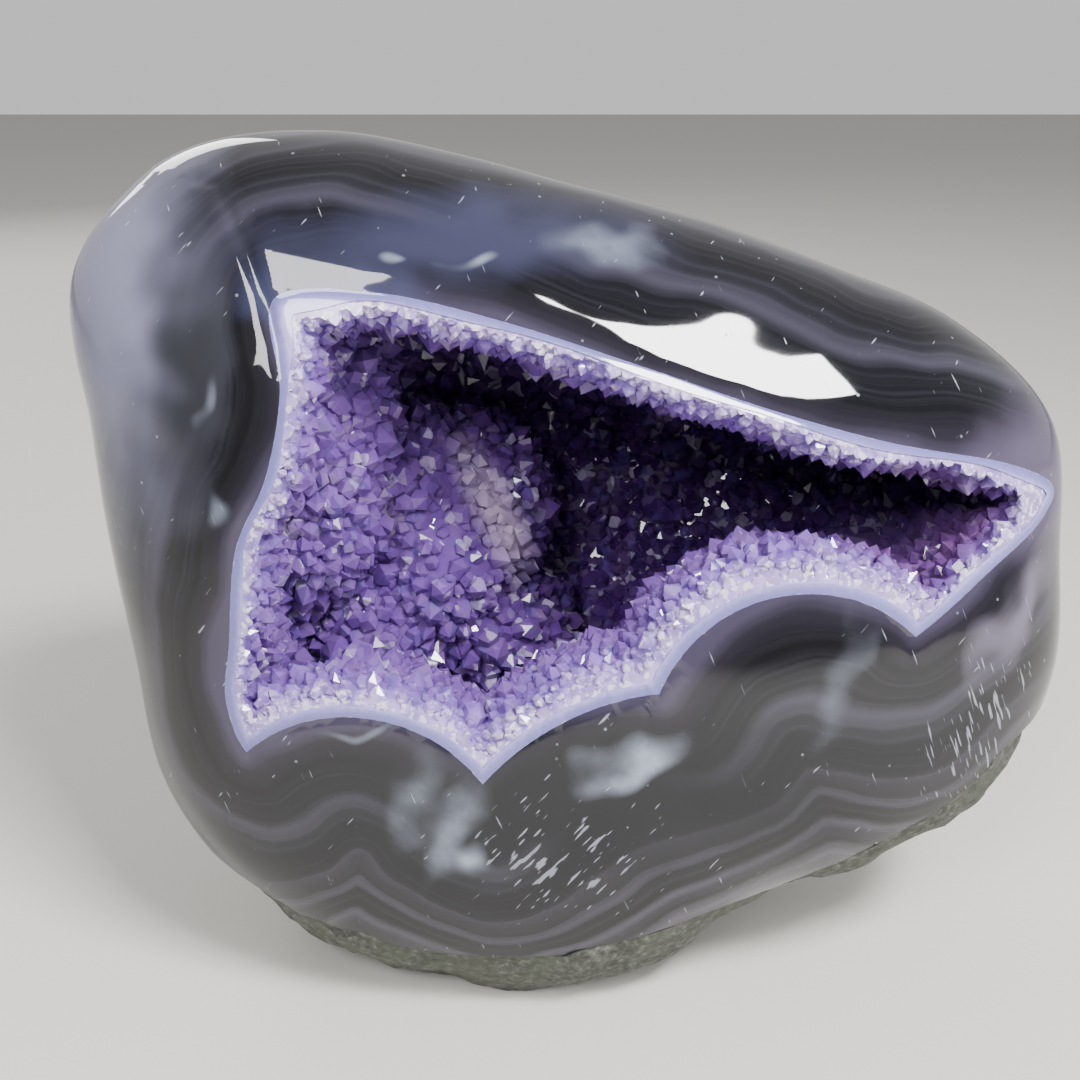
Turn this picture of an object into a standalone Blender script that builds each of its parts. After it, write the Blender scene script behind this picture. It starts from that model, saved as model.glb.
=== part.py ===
"""Amethyst geode: a polished agate nodule with a crystal-lined hollow, standing on its rough underside.

Sizes are millimetres times MM. X runs to the right of the cut face, Z up, and the face looks along -Y.
The origin is in the middle of the small flat spot that the stone stands on.

The polished face leans back, so shapes are laid out in a leaning frame: a runs across the face,
b up the face and c into the stone, all from the middle of the nodule.
"""
import math

import bmesh
import bpy
import numpy
from mathutils import Matrix, Vector, noise
from mathutils.bvhtree import BVHTree

MM = 0.001

# The nodule
LEAN = math.radians(12)
MIDDLE = (4, 4, 82)
OUTLINE_RADII = (100, 100, 89, 77, 71, 69, 71, 79, 93, 107, 110, 96,
                 90, 89, 94, 96, 96, 94, 93, 89, 84, 92, 101, 103)
FACE_DEPTH = 50
BACK_DEPTH = 62
FACE_SQUARENESS = 3.0
BACK_SQUARENESS = 2.4
BODY_AROUND = 40
BODY_RINGS = 16

# The mouth of the hollow, where the crystal crust meets the agate, as points (a, b) on the face
MOUTH = ((92, 13), (80, 18), (58, 22), (36, 28), (15, 35), (-10, 43), (-32, 48), (-50, 47),
         (-49, 31), (-52, 16), (-58, 3), (-60, -14), (-61, -26), (-55, -37), (-35, -45), (-12, -44),
         (12, -36), (38, -26), (61, -14), (78, -1), (89, 7))
MOUTH_CENTRE = (6, 4)
MOUTH_FRONT = -62
MOUTH_MIDDLE = -30
HOLLOW_BACK = 30
WALL_SQUARENESS = 2.6
THROAT_SQUARENESS = 8.0
HOLLOW_DRIFT = (14, 8)
HOLLOW_AROUND = 42
HOLLOW_RINGS = 13

# Rounded lumps of agate that bulge into the hollow: middle (a, b, c) and half sizes
LUMP_AROUND = 16
LUMP_RINGS = 9
LUMPS = (((-37, -54.5, -36), (29, 29, 40)),
         ((21, -66, -34), (47, 47, 44)),
         ((42, -31, -34), (29.5, 29.5, 34)),
         ((-25, -8, 8), (12, 19, 18)),
         ((-50, 24, -8), (12, 34, 18)))

# The crystal crust
CRUST_ROOT = 4.4
CRYSTAL_SPACING = 7.8
CRYSTAL_HEIGHT = 3.4
CRYSTAL_LEAN = 0.9
FIT_GAP = 0.3
SLIVER = 0.8

# The rough underside: height where the polish ends, as points (x, z), and its skin
POLISH_EDGE = ((-110, 58), (-67, 30), (-46, 21), (-12, 15), (5, 16), (30, 22), (45, 24),
               (57, 32), (72, 40), (87, 52), (112, 64))
EDGE_WANDER = 2
SKIN = 6
SKIN_SET_BACK = 1.0
ROUGH_CELL = 16
ROUGH_HEIGHT = 1.6

# Cutting blocks, larger than the nodule all round
UNDERSIDE_HALF = (125, 85)
UNDERSIDE_STEPS = (20, 12)
UNDERSIDE_FLOOR = -60
BLOCK_REACH = 150
BLOCK_FLOOR = -80


def clear_scene():
    for thing in list(bpy.data.objects):
        bpy.data.objects.remove(thing, do_unlink=True)


def make_collection(name):
    collection = bpy.data.collections.new(name)
    bpy.context.scene.collection.children.link(collection)
    return collection


def stone_material(name, colour, roughness, transmission=0.0):
    material = bpy.data.materials.new(name)
    material.use_nodes = True
    shader = material.node_tree.nodes["Principled BSDF"]
    shader.inputs["Base Color"].default_value = (*colour, 1)
    shader.inputs["Roughness"].default_value = roughness
    shader.inputs["Metallic"].default_value = 0
    shader.inputs["IOR"].default_value = 1.54
    shader.inputs["Transmission Weight"].default_value = transmission
    return material


def to_world(a, b, c):
    """A place in the leaning frame, in millimetres, as a world position in metres."""
    x = MIDDLE[0] + a
    y = MIDDLE[1] + b * math.sin(LEAN) + c * math.cos(LEAN)
    z = MIDDLE[2] + b * math.cos(LEAN) - c * math.sin(LEAN)
    return Vector((x, y, z)) * MM


def smooth_loop(values, turn):
    """Catmull-Rom value at turn (0 to 1) of a closed loop of evenly numbered values."""
    count = len(values)
    place = (turn % 1) * count
    first = int(place)
    t = place - first
    before, here, after, beyond = (numpy.array(values[(first + step) % count], float) for step in (-1, 0, 1, 2))
    return 0.5 * (2 * here + (after - before) * t
                  + (2 * before - 5 * here + 4 * after - beyond) * t * t
                  + (3 * here - before - 3 * after + beyond) * t ** 3)


def superellipse(angle, squareness):
    """Width and depth shares of a squared-off half circle, from its pole (angle 0) to its rim (90 degrees)."""
    power = 2 / squareness
    return max(math.sin(angle), 0) ** power, abs(math.cos(angle)) ** power


def deformed_sphere(name, around, rings, place, collection):
    """A closed form: a sphere with each vertex moved to place(turn, angle from the front pole)."""
    bm = bmesh.new()
    bmesh.ops.create_uvsphere(bm, u_segments=around, v_segments=rings, radius=1)
    for vertex in bm.verts:
        turn = math.atan2(vertex.co.y, vertex.co.x) / math.tau
        angle = math.acos(max(-1, min(1, vertex.co.z)))
        vertex.co = place(turn, angle)
    return finish_mesh(bm, name, collection)


def finish_mesh(bm, name, collection):
    bmesh.ops.recalc_face_normals(bm, faces=bm.faces[:])
    if bm.calc_volume(signed=True) < 0:
        bmesh.ops.reverse_faces(bm, faces=bm.faces[:])
    mesh = bpy.data.meshes.new(name)
    bm.to_mesh(mesh)
    bm.free()
    made = bpy.data.objects.new(name, mesh)
    collection.objects.link(made)
    return made


def body_form(name, inset, collection, rough=0):
    """The nodule, smaller by inset all round, with a rough skin of that height where it is given."""
    def place(turn, angle):
        front = angle < math.pi / 2
        width, depth = superellipse(angle, FACE_SQUARENESS if front else BACK_SQUARENESS)
        radius = (float(smooth_loop(OUTLINE_RADII, turn)) - inset) * width
        c = -(FACE_DEPTH - inset) * depth if front else (BACK_DEPTH - inset) * depth
        spot = to_world(radius * math.cos(math.tau * turn), radius * math.sin(math.tau * turn), c)
        if rough:
            outward = (spot - to_world(0, 0, 0)).normalized()
            spot += outward * rough * MM * noise.noise(spot / (ROUGH_CELL * MM))
        return spot
    return deformed_sphere(name, BODY_AROUND, BODY_RINGS, place, collection)


def distance_to_outline(point, outline):
    """How far a point (a, b) is from the nearest side of a closed outline."""
    nearest = math.inf
    for number, corner in enumerate(outline):
        side = corner - outline[number - 1]
        share = max(0, min(1, (point - outline[number - 1]).dot(side) / side.length_squared))
        nearest = min(nearest, (point - outline[number - 1] - side * share).length)
    return nearest


def mouth_outline(inset):
    """The mouth's outline as even steps, each moved towards its middle until it is inset from every side."""
    edge = [Vector(smooth_loop(MOUTH, step / HOLLOW_AROUND)) for step in range(HOLLOW_AROUND)]
    middle = Vector(MOUTH_CENTRE)
    outline = []
    for point in edge:
        near, far = 0.0, 1.0 if inset else 0.0
        while far - near > 0.001:
            half = (near + far) / 2
            if distance_to_outline(point.lerp(middle, half), edge) < inset:
                near = half
            else:
                far = half
        outline.append(point.lerp(middle, far))
    return outline


def hollow_form(name, inset, collection):
    """The hollow behind the mouth, smaller by inset all round, with the lumps taken out of it."""
    outline = mouth_outline(inset)

    def place(turn, angle):
        front = angle < math.pi / 2
        width, depth = superellipse(angle, THROAT_SQUARENESS if front else WALL_SQUARENESS)
        across, up = outline[round(turn * HOLLOW_AROUND) % HOLLOW_AROUND]
        if front:
            c = MOUTH_MIDDLE + (MOUTH_FRONT - MOUTH_MIDDLE) * depth
            drift = 0
        else:
            c = MOUTH_MIDDLE + (HOLLOW_BACK - inset - MOUTH_MIDDLE) * depth
            drift = depth ** 2
        return to_world(across * width + HOLLOW_DRIFT[0] * drift, up * width + HOLLOW_DRIFT[1] * drift, c)

    hollow = deformed_sphere(name, HOLLOW_AROUND, HOLLOW_RINGS, place, collection)
    for number, (middle, half) in enumerate(LUMPS):
        lump = lump_form(f"{name}_lump_{number}", middle, [size + inset for size in half], collection)
        combine(hollow, lump, "DIFFERENCE", "MANIFOLD")
    settle(hollow)
    bm = bmesh.new()
    bm.from_mesh(hollow.data)
    bmesh.ops.remove_doubles(bm, verts=bm.verts[:], dist=SLIVER * MM)
    bmesh.ops.triangulate(bm, faces=bm.faces[:])
    bm.to_mesh(hollow.data)
    bm.free()
    return hollow


def lump_form(name, middle, half, collection):
    bm = bmesh.new()
    bmesh.ops.create_uvsphere(bm, u_segments=LUMP_AROUND, v_segments=LUMP_RINGS, radius=1)
    for vertex in bm.verts:
        a, b, c = (middle[axis] + half[axis] * vertex.co[axis] for axis in range(3))
        vertex.co = to_world(a, b, c)
    return finish_mesh(bm, name, collection)


def combine(target, other, operation, solver="EXACT"):
    step = target.modifiers.new(operation.lower(), "BOOLEAN")
    step.operation = operation
    step.object = other
    step.solver = solver


def settle(made):
    """Turn an object's modifiers into plain mesh."""
    graph = bpy.context.evaluated_depsgraph_get()
    mesh = bpy.data.meshes.new_from_object(made.evaluated_get(graph))
    made.modifiers.clear()
    made.data = mesh
    return made


def shrunk_copy(source, name, distance, collection):
    """A copy of a closed form with its surface moved inwards by a distance in millimetres."""
    bm = bmesh.new()
    bm.from_mesh(source.data)
    bm.normal_update()
    places = [vertex.co - vertex.normal * vertex.calc_shell_factor() * distance * MM for vertex in bm.verts]
    for vertex, spot in zip(bm.verts, places):
        vertex.co = spot
    return finish_mesh(bm, name, collection)


def block(name, low, high, collection):
    bm = bmesh.new()
    size = Vector(high) - Vector(low)
    bmesh.ops.create_cube(bm, size=1)
    for vertex in bm.verts:
        vertex.co = (Vector(low) + Vector(size[axis] * (vertex.co[axis] + 0.5) for axis in range(3))) * MM
    return finish_mesh(bm, name, collection)


def polish_edge_height(x, y):
    """Height of the line where the polish stops, with the wander of a natural skin."""
    xs, zs = zip(*POLISH_EDGE)
    wander = noise.noise(Vector((x, y, 0)) / ROUGH_CELL)
    return float(numpy.interp(x, xs, zs)) + EDGE_WANDER * wander


def underside_block(name, lowered, collection):
    """Everything below the polish line, with its uneven top, lower by the given millimetres."""
    bm = bmesh.new()
    bmesh.ops.create_grid(bm, x_segments=UNDERSIDE_STEPS[0], y_segments=UNDERSIDE_STEPS[1], size=1)
    for vertex in bm.verts:
        x, y = vertex.co.x * UNDERSIDE_HALF[0], vertex.co.y * UNDERSIDE_HALF[1]
        vertex.co = Vector((x, y, polish_edge_height(x, y) - lowered)) * MM
    bmesh.ops.triangulate(bm, faces=bm.faces[:], quad_method="FIXED")
    sides = bmesh.ops.extrude_face_region(bm, geom=bm.faces[:])
    for item in sides["geom"]:
        if isinstance(item, bmesh.types.BMVert):
            item.co.z = UNDERSIDE_FLOOR * MM
    return finish_mesh(bm, name, collection)


def block_below(name, top, collection):
    """Everything lower than a height."""
    return block(name, (-BLOCK_REACH, -BLOCK_REACH, BLOCK_FLOOR), (BLOCK_REACH, BLOCK_REACH, top), collection)


def core_form(name, inset, collection):
    """The agate that the skin is wrapped round: the nodule less the skin, flat above the resting spot."""
    core = body_form(name, inset, collection)
    combine(core, block_below(f"{name}_floor", inset, collection), "DIFFERENCE")
    return settle(core)


def make_agate(parts, cutters, wall):
    """The nodule of banded agate: its polished outside, its hollow, and a step for the skin below."""
    agate = body_form("agate_body", 0, parts)
    combine(agate, wall, "DIFFERENCE")
    skin_space = underside_block("skin_space", 0, cutters)
    combine(skin_space, core_form("core", SKIN, cutters), "DIFFERENCE")
    combine(agate, settle(skin_space), "DIFFERENCE")
    agate.data.materials.append(stone_material("polished_agate", (0.030, 0.028, 0.040), 0.05))
    return agate


def make_rind(parts, cutters):
    """The rough skin of altered basalt under the nodule, ground flat where the stone stands."""
    rind = body_form("rock_rind", SKIN_SET_BACK, parts, rough=ROUGH_HEIGHT)
    combine(rind, underside_block("skin_top", FIT_GAP, cutters), "INTERSECT")
    combine(rind, core_form("core_with_gap", SKIN - FIT_GAP, cutters), "DIFFERENCE")
    combine(rind, block_below("resting_plane", 0, cutters), "DIFFERENCE")
    rind.data.materials.append(stone_material("rough_basalt_skin", (0.16, 0.17, 0.15), 0.85))
    return rind


def crystal_void(collection):
    """The open space inside the crust, its surface raised into six-sided points."""
    void = hollow_form("crystal_void", CRUST_ROOT, collection)
    remesh = void.modifiers.new("even faces", "REMESH")
    remesh.mode = "VOXEL"
    remesh.voxel_size = CRYSTAL_SPACING * MM
    settle(void)

    bm = bmesh.new()
    bm.from_mesh(void.data)
    bmesh.ops.triangulate(bm, faces=bm.faces[:])
    bmesh.ops.smooth_vert(bm, verts=bm.verts[:], factor=0.5, use_axis_x=True, use_axis_y=True, use_axis_z=True)
    bm.normal_update()
    tree = BVHTree.FromBMesh(bm)
    random = numpy.random.default_rng(7)
    tips = []
    for vertex in bm.verts:
        inward = -vertex.normal
        hit = tree.ray_cast(vertex.co + inward * MM, inward)[3]
        room = (hit or 1) + MM
        height = min(CRYSTAL_HEIGHT * MM * random.uniform(0.45, 1.5), room * 0.3)
        tilt = Vector(random.uniform(-1, 1, 3)) * CRYSTAL_LEAN * MM
        tips.append((vertex, vertex.co + inward * height + tilt * min(1, height / MM / CRYSTAL_HEIGHT)))

    old_edges = bm.edges[:]
    bmesh.ops.poke(bm, faces=bm.faces[:])
    bmesh.ops.rotate_edges(bm, edges=old_edges, use_ccw=False)
    for vertex, tip in tips:
        vertex.co = tip
    bm.to_mesh(void.data)
    bm.free()
    return void


def make_crust(parts, cutters, wall):
    """The lining of quartz and amethyst: one crust grown on the agate, cut flush with the face."""
    crust = shrunk_copy(wall, "amethyst_crust", FIT_GAP, parts)
    combine(crust, body_form("face_flush", 0, cutters), "INTERSECT")
    combine(crust, crystal_void(cutters), "DIFFERENCE", "MANIFOLD")
    crust.data.materials.append(stone_material("amethyst", (0.17, 0.07, 0.36), 0.08, transmission=0.5))
    return crust


clear_scene()
geode_parts = make_collection("amethyst_geode")
geode_cutters = make_collection("cutters")
hollow_wall = hollow_form("hollow_wall", 0, geode_cutters)
make_agate(geode_parts, geode_cutters, hollow_wall)
make_rind(geode_parts, geode_cutters)
make_crust(geode_parts, geode_cutters, hollow_wall)
for helper in geode_cutters.objects:
    helper.hide_render = True
    helper.display_type = "WIRE"
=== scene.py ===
"""Looks of an amethyst geode: a polished agate nodule, its crystal-lined hollow and its rough underside.

Everything is in metres in the frame of the solids; sizes are written as millimetres times MM.
"""
import math

import bmesh
import bpy
import numpy
from mathutils import Matrix, Vector, noise
from mathutils.bvhtree import BVHTree


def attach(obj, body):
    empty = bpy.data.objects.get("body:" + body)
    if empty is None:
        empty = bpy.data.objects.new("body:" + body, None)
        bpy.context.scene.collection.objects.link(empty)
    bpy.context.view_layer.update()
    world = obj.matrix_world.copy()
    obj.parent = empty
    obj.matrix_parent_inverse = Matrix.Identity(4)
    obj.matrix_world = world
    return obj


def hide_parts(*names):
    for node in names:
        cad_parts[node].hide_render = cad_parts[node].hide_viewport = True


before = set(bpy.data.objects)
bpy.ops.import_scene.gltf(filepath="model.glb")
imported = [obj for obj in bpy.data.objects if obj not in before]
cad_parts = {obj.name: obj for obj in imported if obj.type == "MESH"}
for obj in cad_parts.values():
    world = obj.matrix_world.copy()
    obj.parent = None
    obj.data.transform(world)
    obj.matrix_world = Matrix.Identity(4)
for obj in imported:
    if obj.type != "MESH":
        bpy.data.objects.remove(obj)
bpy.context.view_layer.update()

# The polished nodule
# One nodule of grey banded agate, broken from its host rock, ground to a free form and polished to a
# mirror all round. The polished face leans back: a runs across it, b up it and c into the stone.
MM = 0.001
LEAN = math.radians(12)
MIDDLE = numpy.array((4.0, 4.0, 82.0))
AXES = numpy.array(((1, 0, 0),
                    (0, math.sin(LEAN), math.cos(LEAN)),
                    (0, math.cos(LEAN), -math.sin(LEAN))))
OUTLINE_RADII = (100, 100, 89, 77, 71, 69, 71, 79, 93, 107, 110, 96,
                 90, 89, 94, 96, 96, 94, 93, 89, 84, 92, 101, 103)
FACE_DEPTH, FACE_SQUARENESS = 50, 3.0
BACK_DEPTH, BACK_SQUARENESS = 62, 2.4
NODULE_AROUND, NODULE_RINGS = 300, 150
FAR = 1e9


def to_world(abc):
    """Places in the leaning frame, in millimetres, as world positions in metres."""
    return (MIDDLE + numpy.asarray(abc, float) @ AXES) * MM


def to_leaning(xyz):
    """World positions in metres as places in the leaning frame, in millimetres."""
    return (numpy.asarray(xyz, float) / MM - MIDDLE) @ AXES.T


def smooth_loop(values, turns):
    """Catmull-Rom values at turns (0 to 1) of a closed loop of evenly numbered values."""
    values = numpy.asarray(values, float)
    count = len(values)
    places = numpy.mod(turns, 1) * count
    first = numpy.floor(places).astype(int)
    t = (places - first).reshape((-1,) + (1,) * (values.ndim - 1))
    before, here, after, beyond = (values[(first + step) % count] for step in (-1, 0, 1, 2))
    return 0.5 * (2 * here + (after - before) * t
                  + (2 * before - 5 * here + 4 * after - beyond) * t * t
                  + (3 * here - before - 3 * after + beyond) * t ** 3)


def outline_radius(a, b):
    """The nodule's radius in the direction of each place (a, b)."""
    return smooth_loop(OUTLINE_RADII, numpy.arctan2(b, a) / math.tau)


def face_depth(a, b):
    """The c of the polished face over each place (a, b)."""
    share = numpy.clip(numpy.hypot(a, b) / outline_radius(a, b), 0, 1)
    return -FACE_DEPTH * (1 - share ** FACE_SQUARENESS) ** (1 / FACE_SQUARENESS)


def soft_noise(points, size):
    """Smooth noise, about -1 to 1, at world positions in metres, with lumps of the given millimetres."""
    scale = 1 / (size * MM)
    return numpy.array([noise.noise(Vector(point) * scale) for point in points])


def near_path(points, path):
    """Distance of places (a, b) from a path of straight lines, and which side of it they are on."""
    nearest = numpy.full(len(points), FAR)
    sides = numpy.zeros(len(points))
    for start, end in zip(numpy.array(path[:-1], float), numpy.array(path[1:], float)):
        line = end - start
        out = points - start
        along = numpy.clip(out @ line / (line @ line), 0, 1)
        gap = numpy.linalg.norm(out - along[:, None] * line, axis=1)
        sides = numpy.where(gap < nearest, line[0] * out[:, 1] - line[1] * out[:, 0], sides)
        nearest = numpy.minimum(nearest, gap)
    return nearest, sides


def mouth_gap(abc):
    """Millimetres from the mouth's outline, which is the smooth loop less the three agate lobes."""
    loop = smooth_loop(MOUTH, numpy.arange(MOUTH_STEPS + 1) / MOUTH_STEPS)
    gap, side = near_path(abc[:, :2], loop)
    for (a, b, c), (across, up, deep) in LOBES:
        size = across * math.sqrt(1 - min(1, ((LOBE_CUT - c) / deep) ** 2))
        away = numpy.hypot(abc[:, 0] - a, abc[:, 1] - b) - size
        gap = numpy.where(away < 0, numpy.maximum(numpy.where(side > 0, 0, gap), -away), gap)
    return numpy.where(abc[:, 2] < 0, gap, FAR)


# The bright crease between the left facet and the face, as places (a, b): where it fades in and out, how
# deep it is ground, and how the facet beside it falls away
CREASE = ((-66, 69), (-61.8, 68.1), (-58.6, 62), (-55.6, 56.3), (-51.9, 46.8), (-49.4, 39.1), (-49, 34))
CREASE_LOW, CREASE_HIGH = (33, 8), (74, 6)
CREASE_DEPTH, CREASE_WIDTH = 0.7, 1.3
FACET_SLOPE, FACET_REACH = 0.13, 14
# A shallow dish above the mouth, long waves and short ripples left by the wheel
DISH_MIDDLE, DISH_SIZE, DISH_DEPTH, DISH_TURN = (34, 42), (30, 10), 1.3, 0.3
WAVE_SIZE, WAVE_HEIGHT, WAVE_DROP = 42, 0.45, 0.8
RIPPLE_SIZE, RIPPLE_HEIGHT = 15, 0.15
# The mouth where the crystals meet the agate, as places (a, b), the lobes of agate that bulge into it, and
# the polished roll of its edge
MOUTH_STEPS = 126
LOBE_CUT = -46
MOUTH = ((92, 13), (80, 18), (58, 22), (36, 28), (15, 35), (-10, 43), (-32, 48), (-50, 47),
         (-49, 31), (-52, 16), (-58, 3), (-60, -14), (-61, -26), (-55, -37), (-35, -45), (-12, -44),
         (12, -36), (38, -26), (61, -14), (78, -1), (89, 7))
LOBES = (((-37, -54.5, -36), (29, 29, 40)),
         ((21, -66, -34), (47, 47, 44)),
         ((42, -31, -34), (29.5, 29.5, 34)))
ROLL_DEPTH, ROLL_WIDTH, ROLL_POWER = 0.30, 1.5, 1.5


def polish_relief(abc):
    """Millimetres that the polished surface stands in or out: long waves, a dish and a crease."""
    world = to_world(abc)
    height = WAVE_HEIGHT * (soft_noise(world, WAVE_SIZE) - WAVE_DROP)
    height += RIPPLE_HEIGHT * soft_noise(world, RIPPLE_SIZE)
    front = abc[:, 2] < 0
    across = (abc[:, 0] - DISH_MIDDLE[0]) / DISH_SIZE[0]
    up = (abc[:, 1] - DISH_MIDDLE[1] + DISH_TURN * (abc[:, 0] - DISH_MIDDLE[0])) / DISH_SIZE[1]
    height -= numpy.where(front, DISH_DEPTH * numpy.exp(-across ** 2 - up ** 2), 0)
    off, side = near_path(abc[:, :2], CREASE)
    fade = numpy.clip((abc[:, 1] - CREASE_LOW[0]) / CREASE_LOW[1], 0, 1) * front
    fade = fade * numpy.clip((CREASE_HIGH[0] - abc[:, 1]) / CREASE_HIGH[1], 0, 1)
    height -= fade * CREASE_DEPTH * numpy.exp(-(off / CREASE_WIDTH) ** 2)
    height -= fade * numpy.where(side < 0, FACET_SLOPE, 0) * off * numpy.exp(-off / FACET_REACH)
    height -= ROLL_DEPTH * front * numpy.exp(-(mouth_gap(abc) / ROLL_WIDTH) ** ROLL_POWER)
    return height


FINE_AT_MOUTH, FINE_AT_CREASE = 4, 5
HALF_SIZES = (95.0, 85.0, 56.0)
SHARP_EDGE = math.radians(35)


def nodule_form(name, inset=0, around=NODULE_AROUND, rings=NODULE_RINGS, relief=None):
    """The nodule as a closed mesh, smaller by inset all round, with a relief function over it."""
    bm = bmesh.new()
    bmesh.ops.create_uvsphere(bm, u_segments=around, v_segments=rings, radius=1)
    abc = nodule_places(bm, inset)
    if relief is polish_relief:
        creased = (near_path(abc[:, :2], CREASE)[0] < FINE_AT_CREASE) & (abc[:, 2] < 0)
        fine = (mouth_gap(abc) < FINE_AT_MOUTH) | creased
        edges = [edge for edge in bm.edges if all(fine[vertex.index] for vertex in edge.verts)]
        bmesh.ops.subdivide_edges(bm, edges=edges, cuts=2, use_grid_fill=True)
        for vertex in bm.verts:
            vertex.co.normalize()
        abc = nodule_places(bm, inset)
    if relief:
        outward = abc / numpy.array(HALF_SIZES) ** 2
        outward /= numpy.linalg.norm(outward, axis=1)[:, None]
        abc = abc + outward * relief(abc)[:, None]
    for vertex, spot in zip(bm.verts, to_world(abc)):
        vertex.co = spot
    return mesh_object(bm, name)


def nodule_places(bm, inset):
    """Where the points of a ball belong on the nodule, in the leaning frame."""
    bm.verts.index_update()
    ball = numpy.array([vertex.co for vertex in bm.verts])
    turns = numpy.arctan2(ball[:, 1], ball[:, 0]) / math.tau
    angles = numpy.arccos(numpy.clip(ball[:, 2], -1, 1))
    front = angles < math.pi / 2
    power = 2 / numpy.where(front, FACE_SQUARENESS, BACK_SQUARENESS)
    reach = numpy.where(front, -(FACE_DEPTH - inset), BACK_DEPTH - inset)
    radius = (smooth_loop(OUTLINE_RADII, turns) - inset) * numpy.clip(numpy.sin(angles), 0, 1) ** power
    return numpy.stack((radius * numpy.cos(math.tau * turns), radius * numpy.sin(math.tau * turns),
                        reach * numpy.abs(numpy.cos(angles)) ** power), axis=1)


def mesh_object(bm, name):
    """A new object of a bmesh, its faces turned outwards."""
    bmesh.ops.recalc_face_normals(bm, faces=bm.faces[:])
    if bm.calc_volume(signed=True) < 0:
        bmesh.ops.reverse_faces(bm, faces=bm.faces[:])
    mesh = bpy.data.meshes.new(name)
    bm.to_mesh(mesh)
    bm.free()
    made = bpy.data.objects.new(name, mesh)
    bpy.context.scene.collection.objects.link(made)
    return made


def settle(made):
    """Turn an object's modifiers into plain mesh."""
    graph = bpy.context.evaluated_depsgraph_get()
    mesh = bpy.data.meshes.new_from_object(made.evaluated_get(graph))
    made.modifiers.clear()
    made.data = mesh
    return made


def carve(target, other, operation):
    """Cut, join or keep the common part of two closed meshes."""
    step = target.modifiers.new(operation.lower(), "BOOLEAN")
    step.operation = operation
    step.object = other
    step.solver = "MANIFOLD"
    settle(target)
    return target


def drop(made):
    bpy.data.objects.remove(made, do_unlink=True)


def surface_tree(made):
    """A search tree over a mesh, for distances to its surface."""
    bm = bmesh.new()
    bm.from_mesh(made.data)
    tree = BVHTree.FromBMesh(bm)
    bm.free()
    return tree


def distances(points, tree):
    return numpy.array([tree.find_nearest(Vector(point))[3] for point in points])


def vertex_places(mesh):
    places = numpy.empty(len(mesh.vertices) * 3, numpy.float32)
    mesh.vertices.foreach_get("co", places)
    return places.reshape(-1, 3)


def paint(mesh, name, values):
    """Store one number for each vertex, for the material to read."""
    layer = mesh.attributes.new(name, "FLOAT", "POINT")
    layer.data.foreach_set("value", numpy.asarray(values, numpy.float32))


# The hollow: its front, middle and back (c), how squared off its wall is, and how it drifts as it deepens
MOUTH_CENTRE = (6, 4)
MOUTH_FRONT, MOUTH_MIDDLE, HOLLOW_BACK = -62, -30, 30
WALL_SQUARENESS, THROAT_SQUARENESS = 2.6, 8.0
HOLLOW_DRIFT = (14, 8)
HOLLOW_AROUND, HOLLOW_RINGS = 252, 84
LUMP_AROUND, LUMP_RINGS = 96, 48
EDGE_SEARCHES = 12
# Rounded lumps and folds of the wall: middle (a, b, c) and half sizes
LUMPS = (*LOBES, ((-25, -8, 8), (12, 19, 18)), ((-50, 24, -8), (12, 34, 18)))
FOLDS = (((-33, 8, 5), (12, 15, 13)), ((-38, -20, 3), (13, 15, 13)), ((-14, -24, 12), (13, 12, 14)),
         ((-20, 4, 12), (13, 17, 14)))
# The smooth band at the face, thinner over the top of the mouth and wide in its upper left corner
BAND = 2.0
TOP_BAND_THINNER, TOP_BAND_FROM, TOP_BAND_TILT, TOP_BAND_FADE = 0.6, 4, 0.1, 8
BAND_WANDER, BAND_WAVES = 0.3, 0.31
WIDE_BAND_AT, WIDE_BAND, WIDE_BAND_SIZE = (-48, 46), 2.6, 9
# Uneven growth: the sizes and heights of its bumps, and how thick the crust is at depths behind the face
HOLLOW_MIDDLE, THROAT_END = (10, 6, -10), -40
BUMP_SIZE, LUMP_BUMP_SIZE = 13, 11
SMALL_BUMP_SIZE, SMALL_BUMP, LUMP_BUMP = 5, 0.7, 0.8
RIM_DEPTHS, RIM_INSETS = (1.2, 2.0, 3.2, 5.0, 10.0, 18.0), (2.0, 3.2, 4.4, 5.2, 5.2, 4.6)


def local_inset(inset, a, b, c):
    """The lining's thickness: a smooth band at the polished face, and a crust that swells out behind it."""
    if inset <= BAND:
        return numpy.full(len(a), float(inset))
    return numpy.interp(c - face_depth(a, b), RIM_DEPTHS, RIM_INSETS) + inset - RIM_INSETS[-1]


def mouth_outline(inset):
    """The mouth's outline as even steps, each moved towards its middle until every side is inset."""
    edge = smooth_loop(MOUTH, numpy.arange(HOLLOW_AROUND) / HOLLOW_AROUND)
    closed = numpy.concatenate((edge, edge[:1]))
    near = numpy.zeros(HOLLOW_AROUND)
    if numpy.all(inset == 0):
        return edge
    far = numpy.ones(HOLLOW_AROUND)
    for _ in range(EDGE_SEARCHES):
        half = (near + far) / 2
        moved = edge + (numpy.array(MOUTH_CENTRE) - edge) * half[:, None]
        close = near_path(moved, closed)[0] < inset
        near = numpy.where(close, half, near)
        far = numpy.where(close, far, half)
    return edge + (numpy.array(MOUTH_CENTRE) - edge) * far[:, None]


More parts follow.
